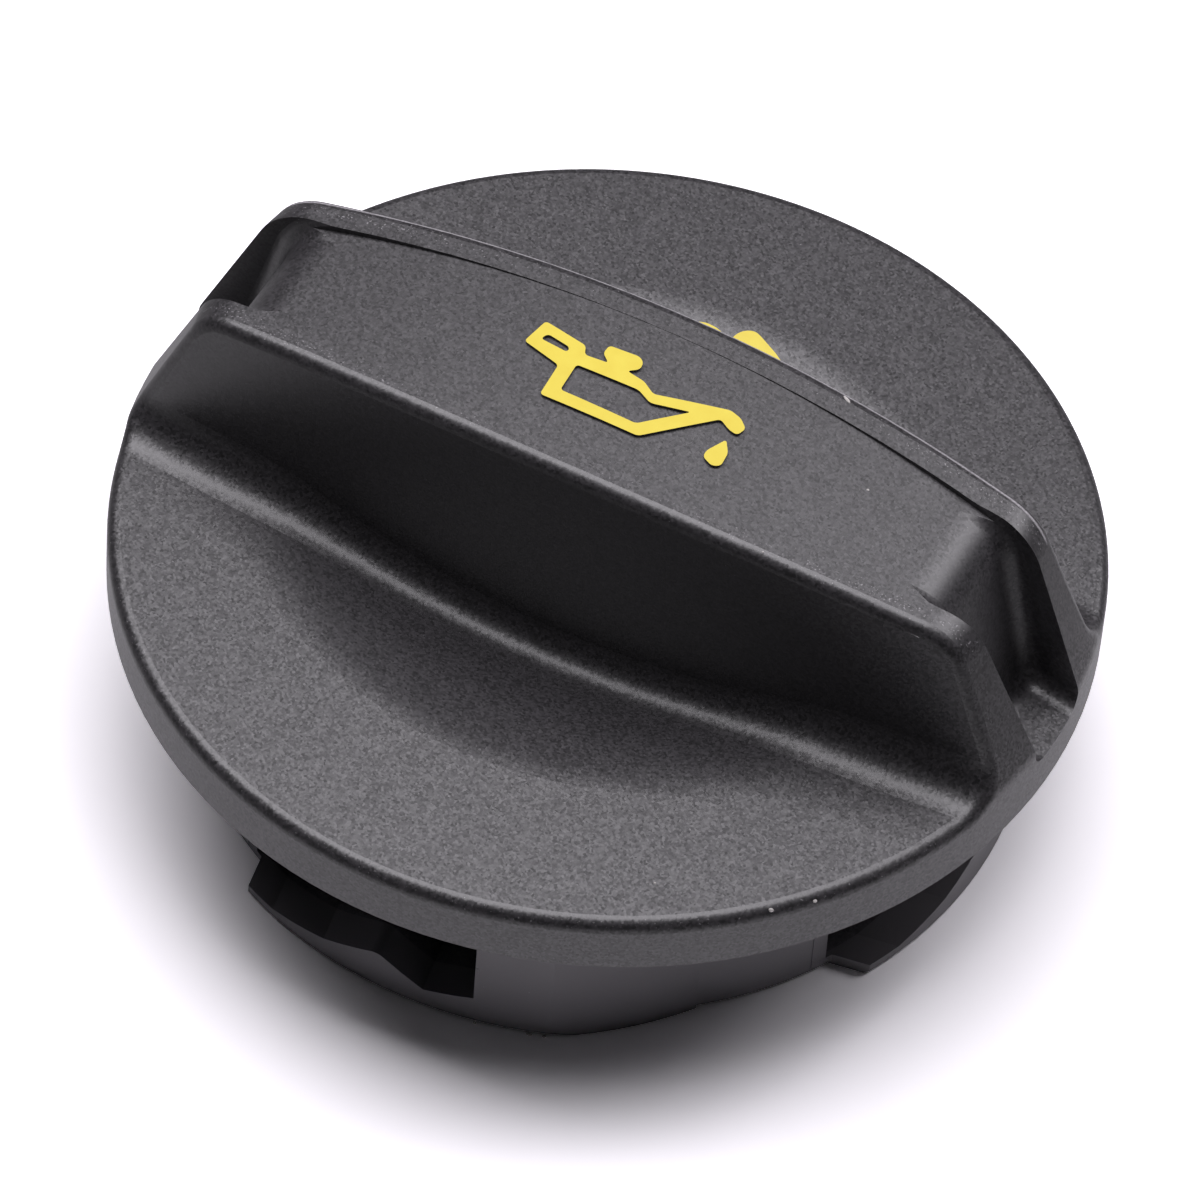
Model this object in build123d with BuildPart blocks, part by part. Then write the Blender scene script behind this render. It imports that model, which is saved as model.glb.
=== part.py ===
from build123d import *
from math import atan2, cos, radians, sin, tan
import os

os.makedirs("parts", exist_ok=True)

# Heights, from the plane that the stub's lower end stands on
stub_height = 11.55  # up to the rim's lower edge
rim_height = 4.2
disc_thickness = 2.6
grip_height = 13.0  # crest of the grip above the disc

# Stub, and outwards from it to the sealing ring and the rim
stub_radius = 24.95
stub_wall = 4.35
seal_width = 3.55
seal_thickness = 2.4
seal_clearance = 0.15
seal_edge_radius = 0.5
rim_wall = 1.7
rim_chamfer = 0.3  # lower edges of the rim
edge_radius = 0.8  # outer edges of the disc and the grip
moulding_wall = 2.3  # over the hollow
hollow_step = 1.05  # ends of the grip's hollow inside the stub's bore

# Grip: barrel-shaped in plan, arched in side view, its ends leaning in from the rim
grip_half_width = 7.6
grip_side_radius = 166.0  # bow of the sides along the crest
grip_foot_side_radius = 350.0  # bow of the sides along the disc
grip_arch_radius = 146.0
grip_draft = 2.0  # of the sides at mid-length
grip_end_lean = 23.5
grip_end_rise = 0.4  # height over the disc where the rim's wall turns into the leaning end
grip_corner_radius = 3.6
foot_radius = 2.8  # hollow fillet between the grip and the disc
fin_width = 2.05
trough_depth = 0.03  # at mid-length
trough_arch_radius = 119.0  # tighter than the fins' arch, so the trough deepens towards its ends
trough_draft = 0.5
core_setback = 3.7  # foot of the core's ends inside the rim
core_end_lean = 15.0
core_corner_radius = 4.0
notch_drop = 0.9  # floor of the end notches below the disc
notch_relief = 0.25  # by which the notches are wider than the trough on either side
notch_foot_radius = 1.5
notch_radius = 1.1  # along the inner sides of the fins in the notches

# Finger wells beside the grip
well_depth = 2.6  # at the foot of the grip
well_reach = 6.15  # at mid-length, out from the margin
well_margin = 1.4  # left at the foot of the grip where the well has run out
well_setback = 12.9  # end of the well inside the rim, along the grip
well_crest = 1.2  # half-length of the turn from the disc into the well
well_softness = 0.25  # share of the depth over which the well's ends run out
ground_fall = 0.02  # least fall of the disc towards the grip

# Bayonet lugs, with angles round the axis from the grip's own direction
lug_count = 4
lug_reach = 1.95  # out from the stub
groove_depth = 2.15  # floor of the groove over each ledge, sunk into the stub
slide_angle = -80.0  # direction in which the groove and the ledge's free end are drawn
lug_free_end = -114.0
groove_end = -115.0  # just past the free end, so the groove is open there
lug_stop = -78.0
lug_block_end = -68.0
lug_cam_middle = -58.8
lug_cam_reach = 1.05
lug_cam_end = -48.0
lug_chamfer = 0.3
ledge_end_height = 0.9
ledge_end_angle = -109.0
ledge_ramp_height = 1.8
ledge_ramp_angle = -100.0
ledge_crest_height = 3.4
ledge_crest_angle = -91.7
ledge_crest_radius = 1.0
ledge_seat_height = 1.7
ledge_seat_angle = -85.0
ledge_stop_height = 2.4

disc_top = stub_height + rim_height
flange_bottom = disc_top - disc_thickness
grip_top = disc_top + grip_height
seal_bottom = flange_bottom - seal_thickness
lug_top = seal_bottom - seal_clearance
bore_radius = stub_radius - stub_wall
seal_inner_radius = stub_radius + seal_clearance
seal_outer_radius = seal_inner_radius + seal_width
rim_inner_radius = seal_outer_radius + seal_clearance
rim_radius = rim_inner_radius + rim_wall
lug_radius = stub_radius + lug_reach
groove_radius = stub_radius - groove_depth
grip_foot_half_width = grip_half_width + grip_height * tan(radians(grip_draft))
well_half_length = rim_radius - well_setback
grip_reach = rim_radius + grip_height  # half-length of shapes that are trimmed by the rim
beyond = 2 * rim_radius  # reach of cuts that run clear of the part


def bow(half_length, radius):
    return radius - (radius**2 - half_length**2) ** 0.5


def polar(radius, angle):
    return Vector(radius, 0).rotate(Axis.Z, angle)


def barrel(half_width, half_length):
    end_width = half_width - bow(half_length, grip_side_radius)
    with BuildSketch() as plan:
        with BuildLine():
            far = ThreePointArc((half_length, end_width), (0, half_width), (-half_length, end_width))
            near = ThreePointArc((-half_length, -end_width), (0, -half_width), (half_length, -end_width))
            Line(far @ 1, near @ 0)
            Line(near @ 1, far @ 0)
        make_face()
    return plan.sketch


def under_arch(crest, radius, half_length, base):
    end_height = crest - bow(half_length, radius)
    with BuildSketch() as side:
        with BuildLine():
            top = ThreePointArc((-half_length, end_height), (0, crest), (half_length, end_height))
            Polyline(top @ 1, (half_length, base), (-half_length, base), top @ 0)
        make_face()
    return side.sketch


# Outer limit of the whole cap: the rim's wall, the grip's leaning ends and its arched top
lean = radians(grip_end_lean)
end_start = disc_top + grip_end_rise
with BuildPart() as envelope:
    with BuildSketch(Plane.YZ) as end_section:
        with BuildLine():
            Polyline(
                (0, 0),
                (rim_radius, 0),
                (rim_radius, end_start),
                (rim_radius - (grip_top - end_start) * tan(lean), grip_top),
                (0, grip_top),
                close=True,
            )
        make_face()
        turn_point = end_section.vertices().group_by(Axis.X)[-1].sort_by(Axis.Y)[-1]
        fillet(turn_point, grip_end_rise / tan(lean / 2))
    revolve(axis=Axis.Z)
    with BuildSketch(Plane.XZ):
        add(under_arch(grip_top, grip_arch_radius, grip_reach, 0))
    extrude(amount=grip_reach, both=True, mode=Mode.INTERSECT)
    fillet(envelope.faces().sort_by(Axis.Z)[-1].edges(), grip_corner_radius)

# Ground beside the grip, section by section along it: the flat disc, the finger well that
# slopes down to the grip, the hollow fillet at its foot and the drafted side
stations = [well_half_length * k / 6 for k in range(-12, 13)]


def fade(x):
    share = 1 - (x / well_half_length) ** 2
    return (share + (share**2 + well_softness**2) ** 0.5) / 2


with BuildPart() as ground:
    for x in stations:
        depth = well_depth * fade(x) + ground_fall
        reach = well_reach * fade(x) + foot_radius + well_margin
        foot_half_width = grip_foot_half_width - bow(x, grip_foot_side_radius)
        crest_half_width = grip_half_width - bow(x, grip_side_radius)
        draft = atan2(foot_half_width - crest_half_width, grip_height)
        slope = atan2(depth, reach)
        setback = foot_radius * tan((radians(90) - draft - slope) / 2)
        downhill = Vector(cos(slope), -sin(slope))
        uphill = Vector(sin(draft), cos(draft))
        corner = Vector(-foot_half_width - depth * tan(draft), disc_top - depth)
        brink = corner - downhill * (depth / sin(slope))
        crest = corner + uphill * (2 * grip_height)
        with BuildSketch(Plane.YZ.offset(x)):
            with BuildLine():
                flat = Line((-beyond, disc_top), brink - Vector(well_crest, 0))
                dip = Spline(
                    flat @ 1,
                    brink + downhill * well_crest,
                    corner - downhill * setback,
                    tangents=[(1, 0), downhill],
                )
                foot = TangentArc(dip @ 1, corner + uphill * setback, tangent=downhill)
                side = Line(foot @ 1, crest)
                Polyline(side @ 1, (-beyond, crest.Y), flat @ 0)
            make_face()
    loft()

# Space between the fins: the shallow trough over the core and the deep notch at either end
notch_floor = disc_top - notch_drop
core_height = grip_top - notch_floor
core_half_length = rim_radius - core_setback
core_top_half_length = core_half_length - core_height * tan(radians(core_end_lean))
trough_half_width = grip_half_width - fin_width
trough_top = grip_top - trough_depth
with BuildSketch() as core:
    add(under_arch(trough_top, trough_arch_radius, grip_reach, notch_floor))
    with BuildLine():
        Polyline(
            (-core_half_length, notch_floor),
            (core_half_length, notch_floor),
            (core_top_half_length, grip_top),
            (-core_top_half_length, grip_top),
            close=True,
        )
    make_face(mode=Mode.INTERSECT)
    fillet(core.vertices().group_by(Axis.Y)[1], core_corner_radius)


def fin_gap(half_width):
    floor_half_width = half_width - core_height * tan(radians(trough_draft))
    with BuildPart() as gap:
        with BuildSketch(Plane.XY.offset(notch_floor)):
            add(barrel(floor_half_width, rim_radius + edge_radius))
        extrude(amount=2 * core_height, taper=-trough_draft)
    return gap.part


with BuildPart() as notches:
    add(fin_gap(trough_half_width + notch_relief))
    with BuildSketch(Plane.XZ) as above_core:
        with Locations((0, notch_floor)):
            Rectangle(2 * grip_reach, 2 * core_height, align=(Align.CENTER, Align.MIN))
        add(core.sketch, mode=Mode.SUBTRACT)
        fillet(above_core.vertices().group_by(Axis.Y)[0].sort_by(Axis.X)[1:3], notch_foot_radius)
    extrude(amount=grip_reach, both=True, mode=Mode.INTERSECT)
    sides = notches.faces().sort_by(Axis.Y)
    side_edges = sides[0].edges() + sides[-1].edges()
    low_edges = side_edges.filter_by(lambda e: abs(e.center().X) < rim_radius and e.center().Z < grip_top)
    fillet(low_edges, notch_radius)
with BuildPart() as trough:
    add(fin_gap(trough_half_width))
    with BuildSketch(Plane.XZ):
        add(under_arch(trough_top, trough_arch_radius, grip_reach, 0))
    extrude(amount=grip_reach, both=True, mode=Mode.SUBTRACT)

# One bayonet lug: a ledge with a free end, a stop block and a cam that runs back to the stub
slide = polar(1, slide_angle)
with BuildPart() as lug:
    with BuildSketch():
        with BuildLine():
            free_end = polar(lug_radius, lug_free_end)
            end_face = Line(free_end - slide * (lug_radius - groove_radius), free_end)
            outer = CenterArc((0, 0), lug_radius, lug_free_end, lug_block_end - lug_free_end)
            cam_middle = polar(stub_radius + lug_cam_reach, lug_cam_middle)
            cam = ThreePointArc(outer @ 1, cam_middle, polar(stub_radius, lug_cam_end))
            root = (polar(groove_radius, lug_cam_end), polar(groove_radius, lug_stop))
            Polyline(cam @ 1, *root, end_face @ 0)
        make_face()
    extrude(amount=lug_top)
    with BuildSketch(Plane.XZ):
        with BuildLine():
            Polyline(
                (lug_radius - lug_chamfer, 0),
                (lug_radius + lug_chamfer, 0),
                (lug_radius + lug_chamfer, 2 * lug_chamfer),
                close=True,
            )
        make_face()
    revolve(axis=Axis.Z, mode=Mode.SUBTRACT)


def ledge_point(angle, height):
    return (lug_radius * sin(radians(angle - slide_angle)), height)


# Groove over one ledge, which leaves the ledge's ramp, crest and seat below it
with BuildPart() as groove:
    with BuildSketch():
        with BuildLine():
            Polyline(
                polar(lug_radius, groove_end) + slide * stub_radius,
                polar(lug_radius, groove_end) - slide * stub_radius,
                polar(stub_radius, lug_stop) - slide * stub_radius,
                polar(stub_radius, lug_stop) + slide * stub_radius,
                close=True,
            )
        make_face()
        Circle(groove_radius, mode=Mode.SUBTRACT)
    extrude(amount=lug_top)
    with BuildSketch(Plane(origin=(0, 0, 0), x_dir=slide.rotate(Axis.Z, 90), z_dir=slide)) as ledge:
        with BuildLine():
            Polyline(
                (-lug_radius, 0),
                (-lug_radius, ledge_end_height),
                ledge_point(ledge_end_angle, ledge_end_height),
                ledge_point(ledge_ramp_angle, ledge_ramp_height),
                ledge_point(ledge_crest_angle, ledge_crest_height),
                ledge_point(ledge_seat_angle, ledge_seat_height),
                ledge_point(lug_stop, ledge_stop_height),
                (lug_radius, ledge_stop_height),
                (lug_radius, 0),
                close=True,
            )
        make_face()
        fillet(ledge.vertices().sort_by(Axis.Y)[-1], ledge_crest_radius)
    extrude(amount=2 * lug_radius, mode=Mode.SUBTRACT)

# Hollow underside: under the disc and its wells, and up into the grip
with BuildPart() as grip_hollow:
    with BuildSketch():
        add(barrel(trough_half_width, bore_radius - hollow_step))
    extrude(amount=grip_top)
    with BuildSketch(Plane.XZ):
        add(under_arch(trough_top - moulding_wall, trough_arch_radius, grip_reach, 0))
    extrude(amount=grip_reach, both=True, mode=Mode.INTERSECT)
with BuildPart() as hollow:
    with BuildSketch():
        Circle(bore_radius)
    extrude(amount=flange_bottom)
    low_ground = ground.part.moved(Location((0, 0, -moulding_wall)))
    add([low_ground, mirror(low_ground, about=Plane.XZ, mode=Mode.PRIVATE)], mode=Mode.SUBTRACT)
    add(grip_hollow.part)

with BuildPart() as cap:
    add(envelope.part)
    add([ground.part, mirror(ground.part, about=Plane.XZ, mode=Mode.PRIVATE)], mode=Mode.SUBTRACT)
    disc_edges = cap.edges().filter_by_position(Axis.Z, disc_top - ground_fall, disc_top + ground_fall)
    rim_edges = disc_edges.filter_by(GeomType.CIRCLE).filter_by(lambda e: abs(e.center().Y) > rim_radius / 2)
    fillet(rim_edges, edge_radius)
    add([notches.part, trough.part], mode=Mode.SUBTRACT)
    # Under the disc: the rim's skirt and the stub
    with BuildSketch(Plane.YZ):
        with BuildLine():
            Polyline(
                (stub_radius - lug_chamfer, 0),
                (stub_radius, lug_chamfer),
                (stub_radius, flange_bottom),
                (rim_inner_radius, flange_bottom),
                (rim_inner_radius, stub_height),
                (beyond, stub_height),
                (beyond, 0),
                close=True,
            )
        make_face()
    revolve(axis=Axis.Z, mode=Mode.SUBTRACT)
    chamfer(cap.edges().filter_by_position(Axis.Z, stub_height, stub_height), rim_chamfer)
    with PolarLocations(0, lug_count):
        add(lug.part)
    with PolarLocations(0, lug_count):
        add(groove.part, mode=Mode.SUBTRACT)
    add(hollow.part, mode=Mode.SUBTRACT)

with BuildPart() as sealing_ring:
    with BuildSketch(Plane.YZ) as ring_section:
        with Locations((seal_inner_radius, seal_bottom)):
            Rectangle(seal_width, seal_thickness, align=(Align.MIN, Align.MIN))
        fillet(ring_section.vertices(), seal_edge_radius)
    revolve(axis=Axis.Z)

cap.part.label = "cap"
sealing_ring.part.label = "sealing_ring"
export_step(cap.part, "parts/cap.step")
export_step(sealing_ring.part, "parts/sealing_ring.step")
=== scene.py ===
import bpy
import bmesh
import math
from mathutils import Matrix, Vector


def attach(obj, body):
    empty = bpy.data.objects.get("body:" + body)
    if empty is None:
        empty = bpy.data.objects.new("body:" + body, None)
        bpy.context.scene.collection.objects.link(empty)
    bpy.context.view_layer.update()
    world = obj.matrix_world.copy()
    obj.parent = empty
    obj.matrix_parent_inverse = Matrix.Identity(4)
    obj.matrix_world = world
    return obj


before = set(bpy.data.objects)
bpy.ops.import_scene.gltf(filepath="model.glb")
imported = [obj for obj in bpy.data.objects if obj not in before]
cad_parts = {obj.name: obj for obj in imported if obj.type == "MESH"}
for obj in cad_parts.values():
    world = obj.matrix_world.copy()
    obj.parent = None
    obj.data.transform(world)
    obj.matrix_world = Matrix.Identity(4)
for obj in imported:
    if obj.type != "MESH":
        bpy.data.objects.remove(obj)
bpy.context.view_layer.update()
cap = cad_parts["cap"]
mm = 0.001
weldDistance = 0.0005 * mm  # points closer than this become one


def hexColor(code):
    # sRGB hex to the linear value that the shader wants
    parts = [int(code[i:i + 2], 16) / 255 for i in (1, 3, 5)]
    return tuple(p / 12.92 if p <= 0.04045 else ((p + 0.055) / 1.055) ** 2.4 for p in parts) + (1.0,)


def addNode(tree, kind, settings=None, links=None):
    # links: input socket -> (node, output socket), or a plain value for the socket
    node = tree.nodes.new(kind)
    for key, value in (settings or {}).items():
        setattr(node, key, value)
    for key, value in (links or {}).items():
        if isinstance(value, tuple) and isinstance(value[0], bpy.types.Node):
            tree.links.new(value[0].outputs[value[1]], node.inputs[key])
        else:
            node.inputs[key].default_value = value
    return node


def mixColor(tree, factor, first, second):
    return addNode(tree, "ShaderNodeMix", {"data_type": "RGBA"}, {0: factor, 6: first, 7: second})


def ramp(tree, source, start, end, low, high):
    # low up to the start, high from the end on
    return addNode(tree, "ShaderNodeMapRange", {}, {0: source, 1: start, 2: end, 3: low, 4: high})


def newMaterial(name):
    material = bpy.data.materials.new(name)
    material.use_nodes = True
    material.node_tree.nodes.clear()
    return material, material.node_tree


def addPiece(name, bm, materials):
    # the mesh holds its own place, so the object stays at the origin
    bmesh.ops.remove_doubles(bm, verts=bm.verts, dist=weldDistance)
    bmesh.ops.recalc_face_normals(bm, faces=bm.faces)
    mesh = bpy.data.meshes.new(name)
    bm.to_mesh(mesh)
    bm.free()
    for material in materials:
        mesh.materials.append(material)
    piece = bpy.data.objects.new(name, mesh)
    bpy.context.scene.collection.objects.link(piece)
    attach(piece, "root")


def surfaceHeight(x, y):
    # height of the cap's top surface, all in metres, by a ray that falls from 100 mm
    return cap.ray_cast(Vector((x, y, 100 * mm)), Vector((0, 0, -1)))[1].z


# Camera, at the place that the photograph was taken from
view = {
    "azimuth": 24.50,  # degrees
    "elevation": 49.67,
    "roll": 4.59,
    "distance": 535.0,  # mm, from a point at the aim height on the cap's axis
    "aside": -0.24,
    "up": -4.06,
    "aimHeight": 15.5,
    "lens": 264.0,
}


def setCamera():
    azimuth, elevation = math.radians(view["azimuth"]), math.radians(view["elevation"])
    flat = math.cos(elevation)
    back = Vector((math.sin(azimuth) * flat, -math.cos(azimuth) * flat, math.sin(elevation)))
    right = Vector((math.cos(azimuth), math.sin(azimuth), 0))
    upward = back.cross(right)
    roll = math.radians(view["roll"])
    camRight = right * math.cos(roll) + upward * math.sin(roll)
    camUp = upward * math.cos(roll) - right * math.sin(roll)
    data = bpy.data.cameras.new("photoCamera")
    data.lens = view["lens"]
    data.sensor_width = 36
    data.clip_start, data.clip_end = 0.01, 20
    camera = bpy.data.objects.new("photoCamera", data)
    place = back * view["distance"] + right * view["aside"] + upward * view["up"]
    place.z += view["aimHeight"]
    turn = Matrix((camRight, camUp, back)).transposed().to_4x4()
    camera.matrix_world = Matrix.Translation(place * mm) @ turn
    bpy.context.scene.collection.objects.link(camera)
    bpy.context.scene.camera = camera
    bpy.context.scene.view_settings.view_transform = "Standard"


setCamera()
print("camera set")


# Light: two softboxes overhead, a dim room, a white table that reflects in the walls
light = {
    "softboxes": {  # place (mm), width and depth (mm), power (W)
        "mainSoftbox": ((-120, 60, 345), (480, 240), 1.5),
        "backSoftbox": ((240, 300, 345), (240, 240), 1.0),
    },
    "lampColor": (1.0, 0.97, 1.02),  # a touch of magenta, as in the photo's greys
    "roomGrey": 0.015,
    "tableColor": "#e8e7e9",
    "tableHalf": 3000,  # mm
    # the photo's white is overexposed, so these multiples of the table's colour are over 1
    "tableSeen": 2.05,  # what the camera sees
    "tableSheen": 1.1,  # what the cap's sheen mirrors
    "tableBounce": 4.2,  # what lights the stub
    "tableReach": (48, 64),  # mm from the axis: sheen and bounce fade out between these
    "farSheen": 0.3,  # greys of the table beyond its reach
    "farBounce": 0.02,
}


def setLight():
    for name, (place, size, power) in light["softboxes"].items():
        data = bpy.data.lights.new(name, "AREA")
        data.shape = "RECTANGLE"
        data.size, data.size_y = size[0] * mm, size[1] * mm
        data.energy = power
        data.color = light["lampColor"]
        lamp = bpy.data.objects.new(name, data)
        lamp.location = Vector(place) * mm
        bpy.context.scene.collection.objects.link(lamp)

    world = bpy.data.worlds.new("studio")
    bpy.context.scene.world = world
    world.use_nodes = True
    tree = world.node_tree
    tree.nodes.clear()
    path = addNode(tree, "ShaderNodeLightPath")
    room = addNode(tree, "ShaderNodeBackground", links={
        "Color": (1, 1, 1, 1), "Strength": light["roomGrey"]})
    seen = addNode(tree, "ShaderNodeBackground", links={"Color": (1, 1, 1, 1), "Strength": 1.0})
    mix = addNode(tree, "ShaderNodeMixShader", links={
        "Fac": (path, "Is Camera Ray"), 1: (room, "Background"), 2: (seen, "Background")})
    addNode(tree, "ShaderNodeOutputWorld", links={"Surface": (mix, "Shader")})


def makeTable():
    # white paper, with its own brightness for the camera, for the cap's sheen and for bounced light
    material, tree = newMaterial("whitePaper")
    paper = hexColor(light["tableColor"])
    shares = ("tableSeen", "tableSheen", "tableBounce")
    tints = {k: tuple(c * light[k] for c in paper[:3]) + (1.0,) for k in shares}
    near, far = (r * mm for r in light["tableReach"])
    farBounce, farSheen = (tuple([light[k]] * 3) + (1.0,) for k in ("farBounce", "farSheen"))
    where = addNode(tree, "ShaderNodeTexCoord")
    radius = addNode(tree, "ShaderNodeVectorMath", {"operation": "LENGTH"}, {0: (where, "Object")})
    reach = ramp(tree, (radius, "Value"), near, far, 0.0, 1.0)
    path = addNode(tree, "ShaderNodeLightPath")
    bounce = mixColor(tree, (reach, 0), tints["tableBounce"], farBounce)
    mirrored = mixColor(tree, (reach, 0), tints["tableSheen"], farSheen)
    sheen = mixColor(tree, (path, "Is Glossy Ray"), (bounce, 2), (mirrored, 2))
    color = mixColor(tree, (path, "Is Camera Ray"), (sheen, 2), tints["tableSeen"])
    sheet = addNode(tree, "ShaderNodeBsdfDiffuse", links={"Color": (color, 2)})
    addNode(tree, "ShaderNodeOutputMaterial", links={"Surface": (sheet, "BSDF")})
    mesh = bpy.data.meshes.new("table")
    bm = bmesh.new()
    bmesh.ops.create_grid(bm, x_segments=1, y_segments=1, size=light["tableHalf"] * mm)
    bm.to_mesh(mesh)
    bm.free()
    table = bpy.data.objects.new("table", mesh)
    mesh.materials.append(material)
    bpy.context.scene.collection.objects.link(table)


setLight()
makeTable()
print("light and table set")


# Black glass-filled nylon: the eroded tool leaves the top with a fine sparkling grain, the smooth
# stub is painted a lighter grey that stands in for bounce light from the white table, and handling
# has left pale specks along the edges
nylon = {
    "color": "#1b1a1c",
    "fleck": "#444245",  # the grain's lightest facets
    "stubColorPaintedBounce": "#525053",  # painted bounce light from the white table: lighter than the top, to reach the photo's tone under plain lamps
    "wornColor": "#b5b2b6",
    "roughness": 0.41,
    "ior": 1.53,
    "gloss": 1.0,  # twice the usual 0.5, to reach the photo's tone under plain lamps
    "grain": 0.15,  # mm, a facet of the eroded surface
    "facetTilt": 0.12,  # how far the facets lean from each other
    "smoothAndBounceBelow": (11.4, 11.6),  # mm, heights between which the smooth stub and its painted bounce light end
    "smoothShare": 0.25,  # of the facets' lean that is left on the stub
    "gripAbove": (17.0, 19.0),  # mm, heights between which the grain weakens
    "gripShare": 0.6,  # of the facets' lean that is left on the grip
    "grooveRadius": 24.6,  # mm, inside which the stub is as black as the top, without the painted bounce light
    "speck": 0.14,  # mm, size of the pale specks
    "speckFrom": (0.80, 0.62),  # noise level above which specks show: unworn, worn
    "speckSoft": 0.06,  # rise in the noise over which a speck fades in
    "speckPale": 0.5,  # share of the worn colour in a speck
    "finTop": (6.6, 1.2),  # mm, middle and reach of the scuffed fin tops
    "finEdge": (7.34, 0.14),  # mm, the far fin's pale outer edge
    "finEdgePaleness": 2.2,  # how strongly that pale line shows
    "finBow": 166.0,  # mm, radius of the grip's sides in plan
    "finHeight": (24.7, 25.2),  # mm, heights between which the wear sets in
    "gripEnd": 18.0,  # mm, distance out at which the fins are scuffed most
    "gripMiddle": 0.55,  # share of that wear at the middle of the grip
    "rimEdge": (30.15, 15.4),  # mm, radius and height of the worn rim
    "rimReach": 0.5,  # mm
}


def band(tree, source, middle, halfWidth):
    # 1 on the middle value, falling to 0 at half the width on either side
    away = addNode(tree, "ShaderNodeMath", {"operation": "SUBTRACT"}, {0: source, 1: middle})
    span = addNode(tree, "ShaderNodeMath", {"operation": "ABSOLUTE"}, {0: (away, 0)})
    return ramp(tree, (span, 0), 0.0, halfWidth, 1.0, 0.0)


def times(tree, first, second):
    return addNode(tree, "ShaderNodeMath", {"operation": "MULTIPLY"}, {0: first, 1: second})


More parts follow.
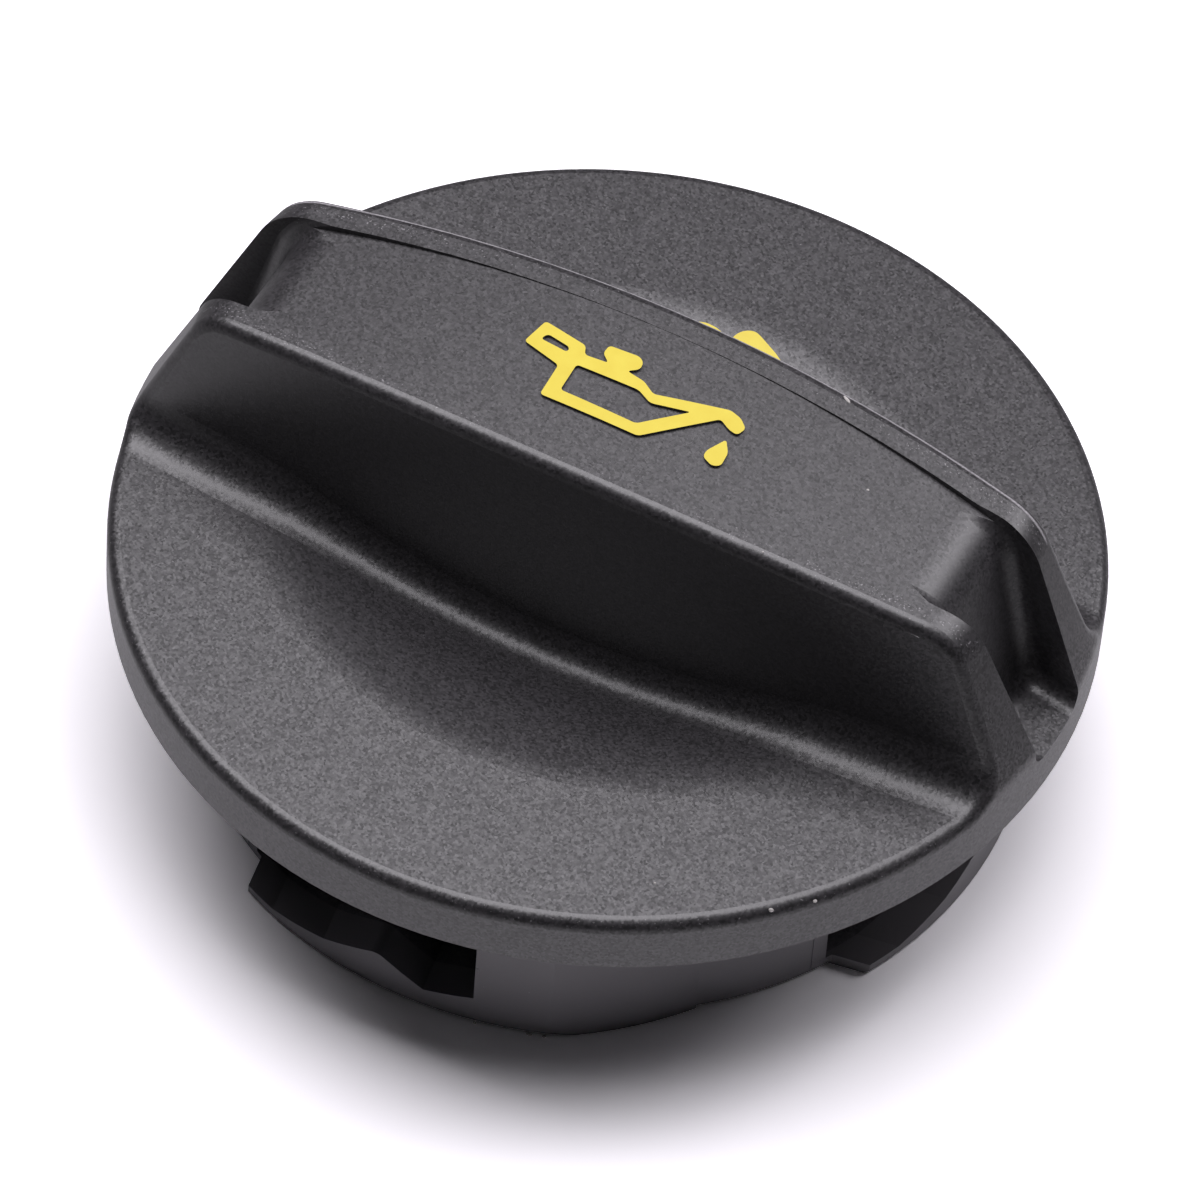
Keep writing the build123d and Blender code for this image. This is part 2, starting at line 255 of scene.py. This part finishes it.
def makeNylon():
    material, tree = newMaterial("mouldedBlackNylon")
    where = addNode(tree, "ShaderNodeTexCoord")
    axes = addNode(tree, "ShaderNodeSeparateXYZ", links={0: (where, "Object")})
    facets = addNode(tree, "ShaderNodeTexVoronoi", links={
        "Vector": (where, "Object"), "Scale": 1 / (nylon["grain"] * mm)})
    finish = ramp(tree, (axes, "Z"), *(v * mm for v in nylon["smoothAndBounceBelow"]), nylon["smoothShare"], 1.0)
    # each facet leans its own way, so it catches more or less light than its neighbours
    lean = addNode(tree, "ShaderNodeVectorMath", {"operation": "SUBTRACT"}, {
        0: (facets, "Color"), 1: (0.5, 0.5, 0.5)})
    grip = ramp(tree, (axes, "Z"), *(v * mm for v in nylon["gripAbove"]), 1.0, nylon["gripShare"])
    amount = times(tree, (times(tree, (finish, 0), (grip, 0)), 0), nylon["facetTilt"])
    leaned = addNode(tree, "ShaderNodeVectorMath", {"operation": "SCALE"}, {
        0: (lean, "Vector"), "Scale": (amount, 0)})
    surface = addNode(tree, "ShaderNodeNewGeometry")
    turned = addNode(tree, "ShaderNodeVectorMath", {"operation": "ADD"}, {
        0: (surface, "Normal"), 1: (leaned, "Vector")})
    facing = addNode(tree, "ShaderNodeVectorMath", {"operation": "NORMALIZE"}, {0: (turned, "Vector")})
    tone = addNode(tree, "ShaderNodeSeparateXYZ", links={0: (facets, "Color")})

    # worn places: the tops of the fins and the rim's edge
    square = addNode(tree, "ShaderNodeMath", {"operation": "POWER"}, {0: (axes, "X"), 1: 2.0})
    bowed = times(tree, (square, 0), 1 / (2 * nylon["finBow"] * mm))
    side = addNode(tree, "ShaderNodeMath", {"operation": "ABSOLUTE"}, {0: (axes, "Y")})
    width = addNode(tree, "ShaderNodeMath", {"operation": "ADD"}, {0: (side, 0), 1: (bowed, 0)})
    high = ramp(tree, (axes, "Z"), *(v * mm for v in nylon["finHeight"]), 0.0, 1.0)
    outward = ramp(tree, (square, 0), 0.0, (nylon["gripEnd"] * mm) ** 2, nylon["gripMiddle"], 1.0)
    tops = times(tree, (band(tree, (width, 0), *(v * mm for v in nylon["finTop"])), 0), (high, 0))
    finWear = times(tree, (tops, 0), (outward, 0))
    flat = addNode(tree, "ShaderNodeCombineXYZ", links={0: (axes, "X"), 1: (axes, "Y")})
    radius = addNode(tree, "ShaderNodeVectorMath", {"operation": "LENGTH"}, {0: (flat, 0)})
    rimRadius, rimHeight, rimReach = (v * mm for v in (*nylon["rimEdge"], nylon["rimReach"]))
    rimWear = times(tree, (band(tree, (radius, "Value"), rimRadius, rimReach), 0),
                    (band(tree, (axes, "Z"), rimHeight, rimReach), 0))
    wear = addNode(tree, "ShaderNodeMath", {"operation": "MAXIMUM"}, {0: (finWear, 0), 1: (rimWear, 0)})
    speckle = addNode(tree, "ShaderNodeTexNoise", links={
        "Vector": (where, "Object"), "Scale": 1 / (nylon["speck"] * mm), "Detail": 1.0, "Roughness": 0.5})
    edge = ramp(tree, (wear, 0), 0.0, 1.0, *nylon["speckFrom"])
    over = addNode(tree, "ShaderNodeMath", {"operation": "SUBTRACT"}, {0: (speckle, "Fac"), 1: (edge, 0)})
    specks = ramp(tree, (over, 0), 0.0, nylon["speckSoft"], 0.0, nylon["speckPale"])
    # a thin pale line along the far fin's outer edge, broken up by the speck noise
    farSide = addNode(tree, "ShaderNodeMath", {"operation": "GREATER_THAN"}, {0: (axes, "Y"), 1: 0.0})
    farEdge = times(tree, (band(tree, (width, 0), *(v * mm for v in nylon["finEdge"])), 0), (high, 0))
    line = times(tree, (times(tree, (farEdge, 0), (farSide, 0)), 0), nylon["finEdgePaleness"])
    paleLine = times(tree, (line, 0), (speckle, "Fac"))
    worn = addNode(tree, "ShaderNodeMath", {"operation": "MAXIMUM"}, {0: (specks, 0), 1: (paleLine, 0)})

    grained = mixColor(tree, (tone, "X"), hexColor(nylon["color"]), hexColor(nylon["fleck"]))
    # painted bounce light: below the top the stub takes the lighter stub colour, except inside the groove
    above = ramp(tree, (finish, 0), nylon["smoothShare"], 1.0, 0.0, 1.0)
    inside = addNode(tree, "ShaderNodeMath", {"operation": "LESS_THAN"}, {
        0: (radius, "Value"), 1: nylon["grooveRadius"] * mm})
    black = addNode(tree, "ShaderNodeMath", {"operation": "MAXIMUM"}, {0: (above, 0), 1: (inside, 0)})
    base = mixColor(tree, (black, 0), hexColor(nylon["stubColorPaintedBounce"]), (grained, 2))
    color = mixColor(tree, (worn, 0), (base, 2), hexColor(nylon["wornColor"]))
    skin = addNode(tree, "ShaderNodeBsdfPrincipled", links={
        "Base Color": (color, 2), "Roughness": nylon["roughness"], "IOR": nylon["ior"],
        "Specular IOR Level": nylon["gloss"], "Normal": (facing, "Vector")})
    addNode(tree, "ShaderNodeOutputMaterial", links={"Surface": (skin, "BSDF")})
    return material


def makeMottled(name, look):
    # two tones that run into each other in soft clouds
    material, tree = newMaterial(name)
    where = addNode(tree, "ShaderNodeTexCoord")
    clouds = addNode(tree, "ShaderNodeTexNoise", links={
        "Vector": (where, "Object"), "Scale": 1 / (look["cloud"] * mm), "Detail": 2.0})
    color = mixColor(tree, (clouds, "Fac"), hexColor(look["color"]), hexColor(look["second"]))
    skin = addNode(tree, "ShaderNodeBsdfPrincipled", links={
        "Base Color": (color, 2), "Roughness": look["roughness"], "IOR": look["ior"]})
    addNode(tree, "ShaderNodeOutputMaterial", links={"Surface": (skin, "BSDF")})
    return material


# Moulded nitrile rubber: duller and softer black than the nylon, with a faint bloom
rubber = {
    "color": "#121213",
    "second": "#1d1d1e",  # the bloom
    "cloud": 1.5,  # mm, size of the bloom's clouds
    "roughness": 0.72,
    "ior": 1.52,
}


def dress(node, material):
    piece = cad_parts[node]
    if not piece.material_slots:
        piece.data.materials.append(material)
    for slot in piece.material_slots:
        slot.material = material


blackNylon = makeNylon()
dress("cap", blackNylon)
dress("sealing_ring", makeMottled("mouldedNitrileRubber", rubber))
print("cap and ring dressed")


# Yellow marking paint, rolled onto raised lines: strong flat yellow, a little uneven in tone
paint = {
    "color": "#f3e257",
    "second": "#e8d145",  # where the paint is thinner
    "cloud": 1.2,  # mm, size of the thinner patches
    "roughness": 0.5,
    "ior": 1.5,
}
yellowPaint = makeMottled("yellowMarkingPaint", paint)


# Oil-can sign in the trough: raised lines of the moulding, painted on top; outlines in mm
canSign = {
    "outline": [
        (-6.82, 0.51), (-6.44, 2.53), (-3.41, 1.92), (-3.11, 1.23), (-1.58, 1.35), (-2.21, 1.90),
        (-2.18, 2.62), (-0.17, 2.74), (0.24, 2.41), (0.30, 1.84), (-0.30, 1.34), (0.96, 1.13),
        (1.90, 0.52), (6.44, 1.86), (7.25, 1.63), (7.85, 1.07), (7.63, 0.37), (7.04, 0.46),
        (6.25, 0.91), (2.64, -2.87), (-3.96, -2.87), (-4.10, -0.28)],
    "handleHole": [(-6.04, 1.13), (-5.83, 1.66), (-4.18, 1.33), (-4.12, 0.91)],
    "bodyHole": [(-3.16, 0.29), (-3.06, -1.97), (2.09, -2.06), (4.49, 0.45), (2.07, -0.20), (0.99, 0.36)],
    "drop": [(7.26, -0.30), (7.83, -1.19), (7.91, -2.26), (7.44, -2.56), (6.68, -2.21), (6.64, -1.67)],
    "cornerRound": 0.22,
    "height": 0.2,
    "sunk": 0.05,  # how far it reaches into the cap
}


# Open-book sign on the far side of the disc, mostly hidden by the grip
bookSign = {
    "leftPage": [
        (-4.3, 14.9), (-4.2, 17.4), (-3.4, 17.95), (-2.8, 18.15), (-2.1, 18.12), (-1.4, 17.9), (-1.3, 15.5)],
    "rightPage": [
        (-0.9, 15.6), (-0.85, 18.05), (-0.6, 18.55), (-0.2, 18.87), (0.22, 18.97), (0.6, 18.83),
        (2.1, 18.08), (2.9, 17.55), (2.9, 15.4)],
    "cornerRound": 0.2,
    "height": 0.12,
    "sunk": 0.05,
}


# Both signs: cuts every mm let a sign follow the surface, and faces that point up are painted
signMaking = {
    "cuts": range(-8, 20),  # mm, across the sign and along it
    "cutSnap": 0.0001,  # mm
    "segments": 4,  # of a rounded corner
    "upward": 0.7,  # least upward part of a painted face's normal
}


def raisedSign(name, sign, loops):
    bm = bmesh.new()
    for loop in loops:
        corners = [bm.verts.new((x * mm, y * mm, 0)) for x, y in sign[loop]]
        for i, corner in enumerate(corners):
            bm.edges.new((corners[i - 1], corner))
    bmesh.ops.bevel(bm, geom=bm.verts[:], offset=sign["cornerRound"] * mm, offset_type="OFFSET",
                    affect="VERTICES", segments=signMaking["segments"], profile=0.5, material=-1)
    bmesh.ops.triangle_fill(bm, edges=bm.edges[:], use_beauty=True, normal=(0, 0, 1))
    for step in signMaking["cuts"]:
        for normal in ((1, 0, 0), (0, 1, 0)):
            bmesh.ops.bisect_plane(bm, geom=bm.verts[:] + bm.edges[:] + bm.faces[:],
                                   dist=signMaking["cutSnap"] * mm,
                                   plane_co=Vector(normal) * step * mm, plane_no=normal)
    for vert in bm.verts:
        vert.co.z = surfaceHeight(vert.co.x, vert.co.y) - sign["sunk"] * mm
    lifted = bmesh.ops.extrude_face_region(bm, geom=bm.faces[:])
    tops = [item for item in lifted["geom"] if isinstance(item, bmesh.types.BMVert)]
    bmesh.ops.translate(bm, verts=tops, vec=(0, 0, (sign["height"] + sign["sunk"]) * mm))
    bmesh.ops.recalc_face_normals(bm, faces=bm.faces)
    for face in bm.faces:
        face.material_index = 1 if face.normal.z > signMaking["upward"] else 0
    addPiece(name, bm, [blackNylon, yellowPaint])


raisedSign("oilCanSign", canSign, ["outline", "handleHole", "bodyHole", "drop"])
raisedSign("bookSign", bookSign, ["leftPage", "rightPage"])
print("signs raised")


# Mould marks: thin parting lines down the stub and a little ragged flash on a stop's edge
mouldMarks = {
    "lineAngles": (-30.5, 59.5, 149.5, 239.5),  # degrees round the stub
    "lineSize": (0.15, 0.12, 10.8),  # mm: depth, width, height
    "lineMiddle": (24.925, 5.9),  # mm: radius and height
    "flash": [  # radius (mm), angle, height (mm), then depth, width and height of each scrap
        (26.85, -77.9, 5.1, 0.16, 0.16, 0.5), (26.83, -78.0, 3.9, 0.12, 0.14, 0.35)],
}


def addBlock(bm, radius, angle, height, size):
    turn = Matrix.Rotation(math.radians(angle), 4, "Z")
    place = turn @ Matrix.Translation((radius * mm, 0, height * mm))
    bmesh.ops.create_cube(bm, size=1.0, matrix=place @ Matrix.Diagonal([v * mm for v in size] + [1]))


marks = bmesh.new()
lineRadius, lineHeight = mouldMarks["lineMiddle"]
for angle in mouldMarks["lineAngles"]:
    addBlock(marks, lineRadius, angle, lineHeight, mouldMarks["lineSize"])
for radius, angle, height, *size in mouldMarks["flash"]:
    addBlock(marks, radius, angle, height, size)
addPiece("mouldMarks", marks, [blackNylon])
print("mould marks set")


# Pale crumbs of dust and swarf that cling to the cap, as in the photograph
crumb = {
    "color": "#a9a5a2",
    "second": "#d8d5d2",  # the crumbs' lighter side
    "cloud": 0.1,  # mm
    "roughness": 0.8,
    "ior": 1.5,
    "crumbs": [  # place, radii (mm) and turn (degrees)
        ((11.85, 6.58, 28.25), (0.34, 0.11, 0.06), -29), ((21.87, -20.91, 15.52), (0.16, 0.11, 0.14), 20),
        ((23.76, -18.91, 15.39), (0.14, 0.09, 0.1), 50), ((5.70, -26.34, 0.12), (0.14, 0.1, 0.12), 0),
        ((8.95, -25.44, 0.10), (0.22, 0.1, 0.1), 15), ((9.80, -25.12, 0.10), (0.16, 0.1, 0.1), 30),
        ((15.98, 1.32, 27.64), (0.1, 0.08, 0.05), 0), ((12.99, -6.56, 28.14), (0.08, 0.07, 0.05), 0),
        ((15.1, -22.74, 15.75), (0.08, 0.07, 0.05), 0)],
}


dust = bmesh.new()
for place, radii, turn in crumb["crumbs"]:
    spot = Matrix.Translation(Vector(place) * mm) @ Matrix.Rotation(math.radians(turn), 4, "Z")
    bmesh.ops.create_icosphere(dust, subdivisions=2, radius=1.0,
                               matrix=spot @ Matrix.Diagonal([v * mm for v in radii] + [1]))
addPiece("dustCrumbs", dust, [makeMottled("paleNylonDust", crumb)])
print("crumbs laid")
